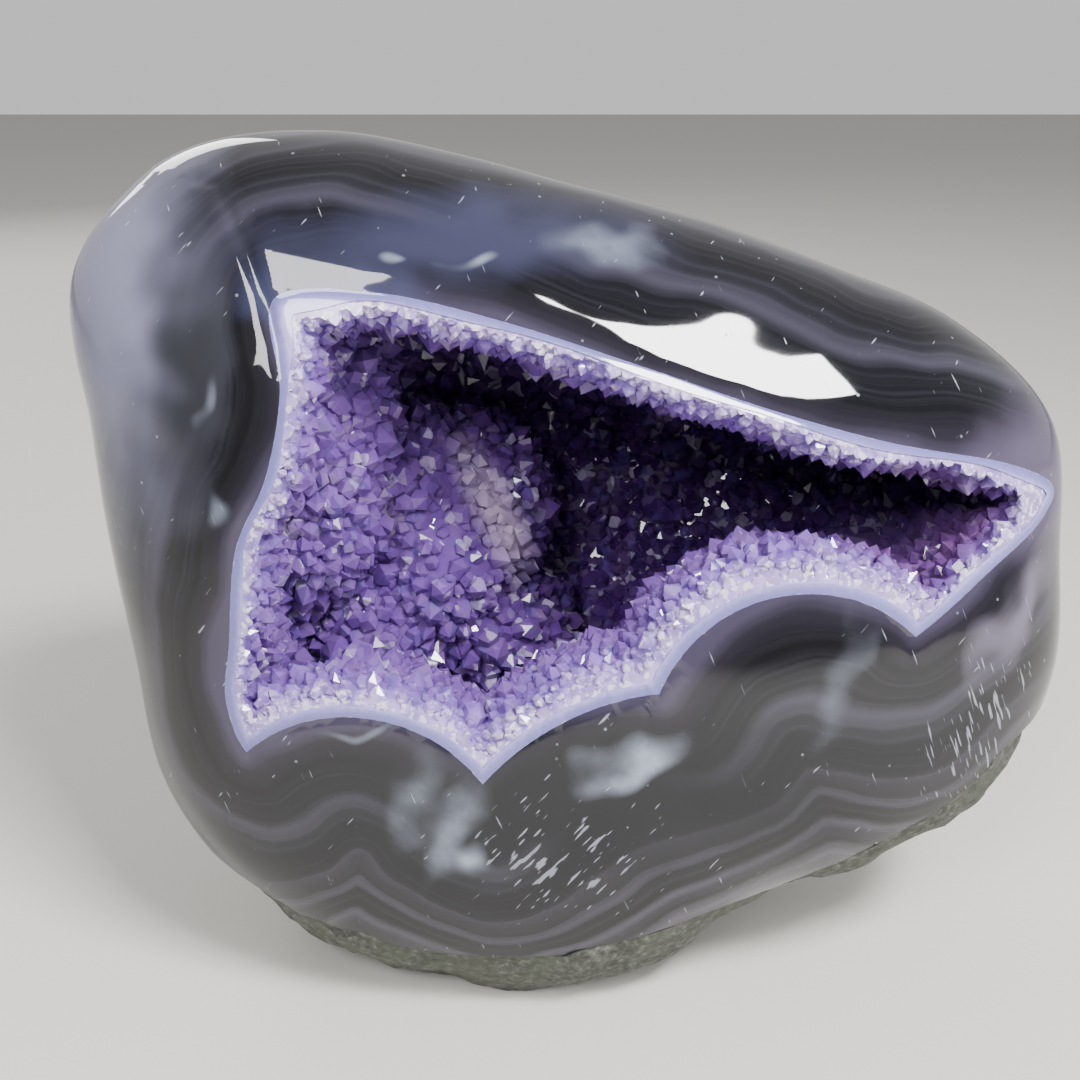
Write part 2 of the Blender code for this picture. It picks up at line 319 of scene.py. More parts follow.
def hollow_form(name, inset=0.0, bumps=0.0):
    """The hollow behind the mouth, smaller by inset inside and by the band's width at the polished face."""
    bm = bmesh.new()
    bmesh.ops.create_uvsphere(bm, u_segments=HOLLOW_AROUND, v_segments=HOLLOW_RINGS, radius=1)
    ball = numpy.array([vertex.co for vertex in bm.verts])
    angles = numpy.arccos(numpy.clip(ball[:, 2], -1, 1))
    steps = numpy.round(numpy.arctan2(ball[:, 1], ball[:, 0]) / math.tau * HOLLOW_AROUND).astype(int)
    front = angles < math.pi / 2
    power = 2 / numpy.where(front, THROAT_SQUARENESS, WALL_SQUARENESS)
    width = numpy.clip(numpy.sin(angles), 0, 1) ** power
    depth = numpy.abs(numpy.cos(angles)) ** power
    drift = numpy.where(front, 0, depth ** 2)
    c = MOUTH_MIDDLE + numpy.where(front, MOUTH_FRONT - MOUTH_MIDDLE,
                                   HOLLOW_BACK - inset - MOUTH_MIDDLE) * depth
    edge = mouth_outline(0)
    away = numpy.linalg.norm(edge - WIDE_BAND_AT, axis=1)
    extra = WIDE_BAND * numpy.exp(-(away / WIDE_BAND_SIZE) ** 2)
    over_top = edge[:, 1] - TOP_BAND_TILT * edge[:, 0] - TOP_BAND_FROM
    extra -= TOP_BAND_THINNER * numpy.clip(over_top / TOP_BAND_FADE, 0, 1)
    extra += BAND_WANDER * numpy.sin(numpy.arange(HOLLOW_AROUND) * BAND_WAVES)
    extra = extra if inset else 0
    widest = max(inset, RIM_INSETS[-2]) if inset > BAND else inset
    full = mouth_outline(widest + extra)[steps % HOLLOW_AROUND]
    thin = mouth_outline(min(inset, BAND) + extra)[steps % HOLLOW_AROUND]
    share = numpy.ones(len(c))
    if inset > BAND:
        thickness = local_inset(inset, full[:, 0] * width, full[:, 1] * width, c)
        share = (thickness - BAND) / (widest - BAND)
    ab = (thin + (full - thin) * share[:, None]) * width[:, None]
    ab += numpy.array(HOLLOW_DRIFT) * drift[:, None]
    places = to_world(numpy.column_stack((ab, c)))
    if bumps:
        outward = places - to_world((HOLLOW_MIDDLE,))[0]
        outward /= numpy.linalg.norm(outward, axis=1)[:, None]
        calm = numpy.where(c > THROAT_END, 1, 0.5)
        small = SMALL_BUMP * soft_noise(places, SMALL_BUMP_SIZE)
        swell = bumps * soft_noise(places, BUMP_SIZE) * calm + small
        places = places + outward * (swell * MM)[:, None]
    for vertex, spot in zip(bm.verts, places):
        vertex.co = spot
    hollow = mesh_object(bm, name)
    for middle, half in LUMPS + (FOLDS if bumps else ()):
        bm = bmesh.new()
        bmesh.ops.create_uvsphere(bm, u_segments=LUMP_AROUND, v_segments=LUMP_RINGS, radius=1)
        ball = numpy.array([vertex.co for vertex in bm.verts])
        abc = numpy.array(middle) + ball * numpy.array(half)
        thickness = local_inset(inset, abc[:, 0], abc[:, 1], abc[:, 2])
        if bumps:
            spots = to_world(abc)
            swell = bumps * soft_noise(spots, LUMP_BUMP_SIZE)
            swell += LUMP_BUMP * soft_noise(spots, SMALL_BUMP_SIZE)
            thickness = thickness + (abc[:, 2] > THROAT_END) * swell
        for vertex, spot in zip(bm.verts, to_world(abc + ball * thickness[:, None])):
            vertex.co = spot
        lump = mesh_object(bm, f"{name} lump")
        carve(hollow, lump, "DIFFERENCE")
        drop(lump)
    return hollow


# The step for the rough skin, below the line where the polish ends, as points (x, z)
POLISH_EDGE = ((-110, 58), (-67, 30), (-46, 21), (-12, 15), (5, 16), (30, 22), (45, 24),
               (57, 32), (72, 40), (87, 52), (112, 64))
SKIN, SKIN_SET_BACK = 6, 1.0
# Steps of the chipped edge: how deep, and how long
CHIPS = ((2, 16), (0.7, 5), (0.35, 2))
# Cutting blocks, larger than the nodule all round
UNDERSIDE_HALF, UNDERSIDE_FLOOR = (125, 85, 0), -60
UNDERSIDE_STEPS = (220, 140)
BLOCK_REACH, BLOCK_FLOOR = 150, -80
CORE_AROUND, CORE_RINGS = 120, 60


def underside_block(name, lowered):
    """Everything below the polish line, with its chipped edge, lower by the given millimetres."""
    bm = bmesh.new()
    bmesh.ops.create_grid(bm, x_segments=UNDERSIDE_STEPS[0], y_segments=UNDERSIDE_STEPS[1], size=1)
    flat = numpy.array([vertex.co for vertex in bm.verts]) * UNDERSIDE_HALF
    xs, zs = zip(*POLISH_EDGE)
    height = numpy.interp(flat[:, 0], xs, zs) - lowered
    for deep, size in CHIPS:
        height += deep * soft_noise(flat * MM, size)
    for vertex, x, y, z in zip(bm.verts, flat[:, 0], flat[:, 1], height):
        vertex.co = Vector((x, y, z)) * MM
    bmesh.ops.triangulate(bm, faces=bm.faces[:], quad_method="FIXED")
    sides = bmesh.ops.extrude_face_region(bm, geom=bm.faces[:])
    for item in sides["geom"]:
        if isinstance(item, bmesh.types.BMVert):
            item.co.z = UNDERSIDE_FLOOR * MM
    return mesh_object(bm, name)


def block(name, low, high):
    bm = bmesh.new()
    bmesh.ops.create_cube(bm, size=1)
    for vertex in bm.verts:
        share = Vector(vertex.co) + Vector((0.5, 0.5, 0.5))
        vertex.co = Vector(low[axis] + (high[axis] - low[axis]) * share[axis] for axis in range(3)) * MM
    return mesh_object(bm, name)


def block_below(name, top):
    """Everything lower than a height."""
    return block(name, (-BLOCK_REACH, -BLOCK_REACH, BLOCK_FLOOR), (BLOCK_REACH, BLOCK_REACH, top))


def core_form(name, inset):
    """The agate that the skin is wrapped round: the nodule less the skin, flat above the resting spot."""
    core = nodule_form(name, inset, CORE_AROUND, CORE_RINGS)
    floor_cut = block_below(f"{name} floor", inset)
    carve(core, floor_cut, "DIFFERENCE")
    drop(floor_cut)
    return core


hollow_wall = hollow_form("hollow wall")
wall_tree = surface_tree(hollow_wall)
agate = nodule_form("polished_agate_nodule", relief=polish_relief)
carve(agate, hollow_wall, "DIFFERENCE")
skin_space = underside_block("skin space", 0)
core = core_form("core", SKIN)
carve(skin_space, core, "DIFFERENCE")
carve(agate, skin_space, "DIFFERENCE")
drop(skin_space)
drop(core)
agate.data.shade_smooth()
agate.data.set_sharp_from_angle(angle=SHARP_EDGE)
agate_places = vertex_places(agate.data)
paint(agate.data, "from_hollow_mm", distances(agate_places, wall_tree) / MM)


def srgb(code):
    """A hex colour as the linear values that Blender's sockets take."""
    shares = [int(code[place:place + 2], 16) / 255 for place in (1, 3, 5)]
    return tuple(s / 12.92 if s <= 0.04045 else ((s + 0.055) / 1.055) ** 2.4 for s in shares) + (1,)


def add(tree, kind, inputs=None, stops=None, **settings):
    """Add a node with its settings, its inputs (a value, or another node's output) and its ramp colours."""
    node = tree.nodes.new(kind)
    for name, value in settings.items():
        setattr(node, name, value)
    for name, value in (inputs or {}).items():
        if isinstance(value, bpy.types.NodeSocket):
            tree.links.new(value, node.inputs[name])
        else:
            node.inputs[name].default_value = value
    if stops:
        points = node.color_ramp.elements
        points.remove(points[1])
        points[0].position, points[0].color = stops[0]
        for place, colour in stops[1:]:
            points.new(place).color = colour
    return node


def new_material(name):
    material = bpy.data.materials.new(name)
    material.use_nodes = True
    return material, material.node_tree, material.node_tree.nodes["Principled BSDF"]


def leaning_place(tree):
    """Object coordinates turned to the polished face, in millimetres: X across, Y inwards, Z up it."""
    origin = to_leaning((0, 0, 0))
    place = add(tree, "ShaderNodeTexCoord").outputs["Object"]
    return add(tree, "ShaderNodeMapping", {"Vector": place, "Location": (origin[0], origin[2], origin[1]),
                                           "Rotation": (LEAN, 0, 0), "Scale": (1 / MM,) * 3}).outputs[0]


def patch(tree, place, middle, half, turn=0.0, depth=30.0):
    """1 in the middle of a soft oval on the polished face, 0 from its edge on."""
    a, b = middle
    oval = add(tree, "ShaderNodeMapping", {"Vector": place, "Location": (a, face_depth(a, b).item(), b),
                                           "Rotation": (0, math.radians(turn), 0),
                                           "Scale": (half[0], depth, half[1])}, vector_type="TEXTURE")
    reach = add(tree, "ShaderNodeVectorMath", {0: oval.outputs[0]}, operation="LENGTH").outputs["Value"]
    return add(tree, "ShaderNodeMapRange", {"Value": reach, "From Min": 1.0, "From Max": 0.1},
               interpolation_type="SMOOTHSTEP").outputs[0]


# Soft areas of the agate's colour, the first also a painted reflection: middle (a, b), half sizes, turn in
# degrees, depth, colour
# The light grey on the left facet is the facet's own bluish grey, lightened by a painted reflection of a
# bright wall beside the stone.
AREAS = (((-84, 48), (30, 62), 0, 60, "#74748a"), ((-67, 36), (13, 32), 5, 30, "#28292e"),
         ((90, 14), (26, 22), 0, 50, "#50495c"), ((84, -10), (6, 22), 35, 40, "#5c5566"),
         ((-40, 46), (20, 10), 0, 20, "#3d415e"), ((-16, 58), (60, 13), -8, 24, "#2f3044"),
         ((5, -42), (70, 24), 0, 30, "#0b0c12"))
# Milky clouds: middle, half sizes, turn, how white
CLOUDS = (((-19, -48), (5, 14), 25, 0.5), ((-15, -54), (5, 5), 0, 0.8), ((12, -34), (14, 5.5), -12, 0.8),
          ((-26, -43), (6, 12), 30, 0.25), ((-28, 52.7), (3, 1.6), 0, 0.5), ((-16, 54), (6, 2), -30, 0.45),
          ((6.6, 57.4), (11, 5), 8, 0.35), ((-63, 12), (3, 5), 0, 0.35), ((-65, 31), (2.4, 3), 0, 0.35),
          ((50, -20), (5, 15), 15, 0.16), ((-37, -30), (9, 1.5), 0, 0.35))
# Fields of small white strokes: middle, half sizes, the strokes' turn, length and width, how many
STROKES = (((-1, -54), (26, 26), 42, 4.2, 0.75, 1.0), ((76, -32), (20, 28), -22, 7.0, 0.6, 1.25))


def agate_material():
    """Grey agate, a very fine banded quartz, ground and polished to a mirror.

    It shows pale and dark lines that keep their distance from the hollow, milky clouds below the
    surface, and small white healed cracks that catch the light.
    """
    material, tree, shader = new_material("polished banded agate")
    place = leaning_place(tree)
    reach = add(tree, "ShaderNodeAttribute", attribute_name="from_hollow_mm").outputs["Fac"]
    slow = add(tree, "ShaderNodeTexNoise", {"Vector": place, "Scale": 1 / 34, "Detail": 2.0}).outputs["Fac"]
    wander = add(tree, "ShaderNodeMath", {0: slow, 1: 12.0, 2: -6.0}, operation="MULTIPLY_ADD").outputs[0]
    layer = add(tree, "ShaderNodeMath", {0: reach, 1: wander}, operation="ADD").outputs[0]
    share = add(tree, "ShaderNodeMath", {0: layer, 1: 80.0}, operation="DIVIDE").outputs[0]
    colour = add(tree, "ShaderNodeValToRGB", {"Fac": share}, stops=(
        (0.00, srgb("#3a3546")), (0.03, srgb("#221f28")), (0.075, srgb("#0f0f13")), (0.165,
                                                                                     srgb("#121217")),
        (0.19, srgb("#34323d")), (0.225, srgb("#1a1a20")), (0.27, srgb("#0c0c10")),
        (0.322, srgb("#101015")), (0.333, srgb("#28262d")), (0.375, srgb("#19191c")), (0.395,
                                                                                       srgb("#37353e")),
        (0.41, srgb("#17171a")), (0.45, srgb("#0e0e10")), (0.47, srgb("#3f3c46")), (0.49, srgb("#25232a")),
        (0.52, srgb("#0f0f11")), (0.57, srgb("#4b4751")), (0.60, srgb("#312e36")), (0.62, srgb("#141417")),
        (0.66, srgb("#66616c")), (0.70, srgb("#2c2a31")), (0.75, srgb("#131316")), (0.78, srgb("#54505c")),
        (0.83, srgb("#1d1d21")), (0.90, srgb("#56515d")), (1.00, srgb("#2a282e")))).outputs["Color"]

    # Fine lines, about 1 mm each, run along the broad ones
    fine = add(tree, "ShaderNodeTexNoise", {"W": layer, "Scale": 0.8, "Detail": 2.0},
               noise_dimensions="1D").outputs["Fac"]
    fine = add(tree, "ShaderNodeMapRange", {"Value": fine, "From Min": 0.45, "From Max": 0.75,
                                            "To Max": 0.10}).outputs[0]
    colour = add(tree, "ShaderNodeMix", {0: fine, 6: colour, 7: srgb("#4b4856")},
                 data_type="RGBA").outputs[2]
    drift = add(tree, "ShaderNodeTexNoise",
                {"Vector": place, "Scale": 1 / 13, "Detail": 1.0}).outputs["Color"]
    drift = add(tree, "ShaderNodeVectorMath", {0: drift, 1: (0.5, 0.5, 0.5)},
                operation="SUBTRACT").outputs[0]
    warped = add(tree, "ShaderNodeVectorMath", {0: drift, 1: (16, 16, 16), 2: place},
                 operation="MULTIPLY_ADD").outputs[0]
    # Soft areas of colour; the light one on the left facet is partly a painted reflection.
    for middle, half, turn, depth, code in AREAS:
        spread = patch(tree, warped, middle, half, turn, depth)
        colour = add(tree, "ShaderNodeMix", {0: spread, 6: colour, 7: srgb(code)},
                     data_type="RGBA").outputs[2]

    # Milky clouds
    wisps = add(tree, "ShaderNodeTexNoise", {"Vector": place, "Scale": 1 / 5, "Detail": 3.0}).outputs["Fac"]
    torn = add(tree, "ShaderNodeMapRange",
               {"Value": wisps, "From Min": 0.25, "From Max": 0.7, "To Min": 0.45}).outputs[0]
    cloud = 0.0
    for middle, half, turn, white in CLOUDS:
        soft = patch(tree, warped, middle, half, turn)
        cloud = add(tree, "ShaderNodeMath", {0: soft, 1: white, 2: cloud},
                    operation="MULTIPLY_ADD").outputs[0]
    cloud = add(tree, "ShaderNodeMath", {0: cloud, 1: torn}, operation="MULTIPLY",
                use_clamp=True).outputs[0]
    colour = add(tree, "ShaderNodeMix", {0: cloud, 6: colour, 7: srgb("#98a2b4")},
                 data_type="RGBA").outputs[2]

    # White strokes: the highest parts of a drawn-out pattern, thinning out from each field's middle
    marks = 0.0
    for middle, half, turn, length, width, many in STROKES:
        field = patch(tree, place, middle, half)
        drawn = add(tree, "ShaderNodeMapping", {"Vector": place, "Rotation": (0, math.radians(turn), 0),
                                                "Scale": (width, 4.0, length)},
                    vector_type="TEXTURE").outputs[0]
        grain = add(tree, "ShaderNodeTexNoise",
                    {"Vector": drawn, "Scale": 1.0, "Detail": 1.0}).outputs["Fac"]
        level = add(tree, "ShaderNodeMath", {0: field, 1: 0.16 * many, 2: grain},
                    operation="MULTIPLY_ADD").outputs[0]
        level = add(tree, "ShaderNodeMath", {0: wisps, 1: 0.30, 2: level},
                    operation="MULTIPLY_ADD").outputs[0]
        stroke = add(tree, "ShaderNodeMapRange",
                     {"Value": level, "From Min": 0.92, "From Max": 0.97}).outputs[0]
        marks = add(tree, "ShaderNodeMath", {0: stroke, 1: marks}, operation="MAXIMUM").outputs[0]
    specks = add(tree, "ShaderNodeTexVoronoi", {"Vector": place, "Scale": 1 / 4}).outputs
    chosen = add(tree, "ShaderNodeSeparateColor", {"Color": specks["Color"]}).outputs[0]
    chosen = add(tree, "ShaderNodeMapRange",
                 {"Value": chosen, "From Min": 0.72, "From Max": 0.76}).outputs[0]
    speck = add(tree, "ShaderNodeMapRange",
                {"Value": specks["Distance"], "From Min": 0.09, "From Max": 0.05, "To Max": 0.8}).outputs[0]
    speck = add(tree, "ShaderNodeMath", {0: speck, 1: chosen}, operation="MULTIPLY").outputs[0]
    marks = add(tree, "ShaderNodeMath", {0: marks, 1: speck}, operation="MAXIMUM").outputs[0]
    white = add(tree, "ShaderNodeMath", {0: marks, 1: 0.5}, operation="MULTIPLY").outputs[0]
    colour = add(tree, "ShaderNodeMix", {0: white, 6: colour, 7: srgb("#a2a6b2")},
                 data_type="RGBA").outputs[2]
    tree.links.new(colour, shader.inputs["Base Color"])

    # Wheel ripples too shallow to feel
    ripple = add(tree, "ShaderNodeTexNoise",
                 {"Vector": place, "Scale": 1 / 9, "Detail": 0.0}).outputs["Fac"]
    swell = add(tree, "ShaderNodeBump", {"Height": ripple, "Distance": 0.06 * MM,
                                         "Strength": 1.0}).outputs[0]
    tree.links.new(swell, shader.inputs["Normal"])
    rough = add(tree, "ShaderNodeMapRange", {"Value": marks, "To Min": 0.035, "To Max": 0.3}).outputs[0]
    tree.links.new(rough, shader.inputs["Roughness"])
    shader.inputs["IOR"].default_value = 1.54
    return material


agate.data.materials.clear()
agate.data.materials.append(agate_material())
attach(agate, "root")
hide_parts("agate_body")

# The smooth band and the roots of the crystals
# The first layer laid down in the hollow is pale blue-lavender chalcedony, a couple of millimetres of it.
# It is polished flush with the face at the mouth and backs the crystals everywhere else.
WALL_LAP = 0.02
SAME_SPOT = 0.05


def shrunk_copy(source, name, distance):
    """A copy of a closed form with its surface moved inwards by a distance in millimetres."""
    bm = bmesh.new()
    bm.from_mesh(source.data)
    bmesh.ops.remove_doubles(bm, verts=bm.verts[:], dist=SAME_SPOT * MM)
    bmesh.ops.triangulate(bm, faces=bm.faces[:])
    bm.normal_update()
    places = [vertex.co - vertex.normal * distance * MM for vertex in bm.verts]
    for vertex, spot in zip(bm.verts, places):
        vertex.co = spot
    return mesh_object(bm, name)


band = shrunk_copy(hollow_wall, "chalcedony_band", WALL_LAP)
band_inside = hollow_form("band inside", BAND)
flush = nodule_form("flush", relief=polish_relief)
carve(band, band_inside, "DIFFERENCE")
carve(band, flush, "INTERSECT")
band.data.shade_smooth()
band.data.set_sharp_from_angle(angle=SHARP_EDGE)


def band_material():
    """Chalcedony, a milky quartz: blue-lavender, a paler line outside, sugary towards the crystals."""
    material, tree, shader = new_material("pale blue chalcedony")
    place = leaning_place(tree)
    reach = add(tree, "ShaderNodeAttribute", attribute_name="from_hollow_mm").outputs["Fac"]
    milk = add(tree, "ShaderNodeTexNoise",
               {"Vector": place, "Scale": 1 / 1.2, "Detail": 5.0}).outputs["Fac"]
    layer = add(tree, "ShaderNodeMath", {0: milk, 1: 1.2, 2: reach}, operation="MULTIPLY_ADD").outputs[0]
    share = add(tree, "ShaderNodeMath", {0: layer, 1: 4.0}, operation="DIVIDE").outputs[0]
    colour = add(tree, "ShaderNodeValToRGB", {"Fac": share}, stops=(
        (0.10, srgb("#9592b8")), (0.18, srgb("#67659a")), (0.42, srgb("#726fa6")),
        (0.60, srgb("#8983bd")), (0.80, srgb("#aaa2d8")))).outputs["Color"]
    tree.links.new(colour, shader.inputs["Base Color"])
    shader.inputs["Roughness"].default_value = 0.06
    shader.inputs["IOR"].default_value = 1.54
    return material


paint(band.data, "from_hollow_mm", distances(vertex_places(band.data), wall_tree) / MM)
band.data.materials.clear()
band.data.materials.append(band_material())
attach(band, "root")

# The amethyst crust
# Thousands of six-sided quartz crystals grown side by side from the lining into the hollow, small and
# broken at the mouth, larger and deeper purple inside. They are joined in code to one crust.
ROOT, FLOOR_BUMPS = 4.6, 1.6
CRYSTAL_SEED = 11
FINE_STEP = 1.1
# Faces kept where little shows: on the crust's back and on the floor between crystals
BACK_SHARE, BACK_FROM = 0.45, 8
FLOOR_SHARE, FLOOR_FROM = 0.4, 6
SOFTEN, SOFTEN_TIMES = 0.6, 24
random = numpy.random.default_rng(CRYSTAL_SEED)


def deeper_than(made, depth):
    """The numbers of the vertices that lie deeper behind the polished face than that, in millimetres."""
    places = to_leaning(vertex_places(made.data))
    return numpy.flatnonzero(places[:, 2] - face_depth(places[:, 0], places[:, 1]) > depth).tolist()


def thin_out(made, share, depth):
    """Bring a form down to a share of its faces, taken only from the part deeper than that."""
    hidden = made.vertex_groups.new(name="hidden")
    hidden.add(deeper_than(made, depth), 1.0, "REPLACE")
    fewer = made.modifiers.new("fewer faces", "DECIMATE")
    fewer.ratio, fewer.vertex_group = share, "hidden"
    settle(made)


crust = shrunk_copy(hollow_form("crust back", BAND), "amethyst_druse", -WALL_LAP)
drop(bpy.data.objects["crust back"])
thin_out(crust, BACK_SHARE, BACK_FROM)
druse_floor = hollow_form("druse floor", ROOT, bumps=FLOOR_BUMPS)
even = druse_floor.modifiers.new("even faces", "REMESH")
even.mode = "VOXEL"
even.voxel_size = FINE_STEP * MM
settle(druse_floor)
inner = druse_floor.vertex_groups.new(name="inner")
inner.add(deeper_than(druse_floor, FLOOR_FROM), 1.0, "REPLACE")
soften = druse_floor.modifiers.new("soften", "SMOOTH")
soften.vertex_group = "inner"
soften.factor, soften.iterations = SOFTEN, SOFTEN_TIMES
settle(druse_floor)

# How far behind the face a crystal stands, and how far the next one is from it
SPACING_DEPTHS, SPACINGS = (1, 4, 9, 25), (1.4, 1.8, 2.3, 2.7)
TURNED_AWAY, AWAY_SPACING = (0.2, 0.7), (1.0, 1.5)
EDGE_FREE = 0.3
SPACING_SPREAD = (0.75, 1.3)
SEARCH_CELL = 4


def crystal_seats(floor):
    """Places for crystals on the druse floor, spaced by their size, with the way each one grows."""
    bm = bmesh.new()
    bm.from_mesh(floor.data)
    bm.normal_update()
    tree = BVHTree.FromBMesh(bm)
    spots = numpy.array([vertex.co for vertex in bm.verts])
    normals = numpy.array([vertex.normal for vertex in bm.verts])
    bm.free()
    abc = to_leaning(spots)
    behind = abc[:, 2] - face_depth(abc[:, 0], abc[:, 1])
    into_stone = abc[:, 2] - to_leaning(spots + normals * MM)[:, 2]
    spacing = numpy.interp(behind, SPACING_DEPTHS, SPACINGS)
    spacing *= numpy.interp(into_stone, TURNED_AWAY, AWAY_SPACING)
    taken, seats = {}, []
    for index in random.permutation(len(spots)):
        if behind[index] < EDGE_FREE:
            continue
        spot, wanted = spots[index] / MM, spacing[index] * random.uniform(*SPACING_SPREAD)
        cell = tuple(numpy.floor(spot / SEARCH_CELL).astype(int))
        close = (other for x in (-1, 0, 1) for y in (-1, 0, 1) for z in (-1, 0, 1)
                 for other in taken.get((cell[0] + x, cell[1] + y, cell[2] + z), ()))
        if any(numpy.linalg.norm(spot - other) < wanted for other in close):
            continue
        taken.setdefault(cell, []).append(spot)
        inward = -Vector(normals[index])
        hit = tree.ray_cast(Vector(spots[index]) + inward * MM, inward)[3]
        room = ((hit or 1) + MM) / MM
        seats.append((Vector(spots[index]), inward, wanted, room, behind[index]))
    return seats


TAPER, TIP_ASIDE, FACE_DROP = 0.94, 0.28, (0.15, 0.5)


def add_crystal(bm, foot, grow, spin, radius, shank, point):
    """A six-sided crystal: a short prism and a point with its tip a little to one side."""
    turn = grow.to_track_quat("Z", "Y").to_matrix().to_4x4() @ Matrix.Rotation(spin, 4, "Z")
    seat = Matrix.Translation(foot) @ turn
    made = bmesh.ops.create_cone(bm, cap_ends=True, segments=6, radius1=radius, radius2=radius * TAPER,
                                 depth=shank, matrix=seat @ Matrix.Translation((0, 0, shank / 2)))
    faces = {face for vertex in made["verts"] for face in vertex.link_faces if len(face.verts) == 6}
    top = max(faces, key=lambda face: (face.calc_center_median() - foot).dot(grow))
    ring = list(top.verts)
    tip = bmesh.ops.poke(bm, faces=[top], offset=point)["verts"][0]
    tip.co += seat.to_3x3() @ Vector((*random.uniform(-TIP_ASIDE, TIP_ASIDE, 2), 0)) * radius
    for vertex in ring[::2]:
        vertex.co -= grow * point * random.uniform(*FACE_DROP)


# A crystal's width as a share of its spacing, its lean, how far it is sunk in the floor and rises from it,
# and how clear crystals of one group stand of each other, so that each group joins the crust in one step
WIDTH_SHARES, BIG_ONES, BIG_WIDTH = (0.66, 0.9), 0.06, 1.4
RIM_ZONE, RIM_LEAN, INNER_LEAN = 5, 0.34, 0.17
SUNK_FROM, SUNK, SUNK_AT_RIM = 3, 1.6, 1.0
RISE_SHARES, ROOM_SHARE, POINT_SHARES = (0.1, 0.9), 0.25, (0.45, 0.95)
REACH_SHARE, CLEAR_SHARE = 1.5, 0.62
CUT_SET_BACK, CUT_AROUND, CUT_RINGS = 0.25, 200, 100

seats = crystal_seats(druse_floor)
groups = []
for seat in seats:
    foot, inward, wanted, room, behind = seat
    radius = wanted * random.uniform(*WIDTH_SHARES)
    if random.random() < BIG_ONES:
        radius *= BIG_WIDTH
    lean = Vector(random.normal(0, 1, 3)) * (RIM_LEAN if behind < RIM_ZONE else INNER_LEAN)
    grow = (inward + lean).normalized()
    sunk = SUNK if behind > SUNK_FROM else SUNK_AT_RIM
    rise = min(radius * random.uniform(*RISE_SHARES), room * ROOM_SHARE)
    crystal = (foot - inward * sunk * MM, grow, random.uniform(0, math.tau), radius * MM,
               (sunk + rise) * MM, radius * random.uniform(*POINT_SHARES) * MM)
    reach = REACH_SHARE * radius + sunk + rise
    for group in groups:
        if all((foot - other).length / MM > CLEAR_SHARE * (reach + away) for other, away in group["near"]):
            break
    else:
        group = {"near": [], "crystals": []}
        groups.append(group)
    group["near"].append((foot, reach))
    group["crystals"].append(crystal)

thin_out(druse_floor, FLOOR_SHARE, FLOOR_FROM)
carve(crust, druse_floor, "DIFFERENCE")
for number, group in enumerate(groups):
    bm = bmesh.new()
    for crystal in group["crystals"]:
        add_crystal(bm, *crystal)
    cluster = mesh_object(bm, f"cluster {number}")
    carve(crust, cluster, "UNION")
    drop(cluster)
cut_face = nodule_form("cut face", CUT_SET_BACK, CUT_AROUND, CUT_RINGS, relief=polish_relief)
carve(crust, cut_face, "INTERSECT")
drop(cut_face)


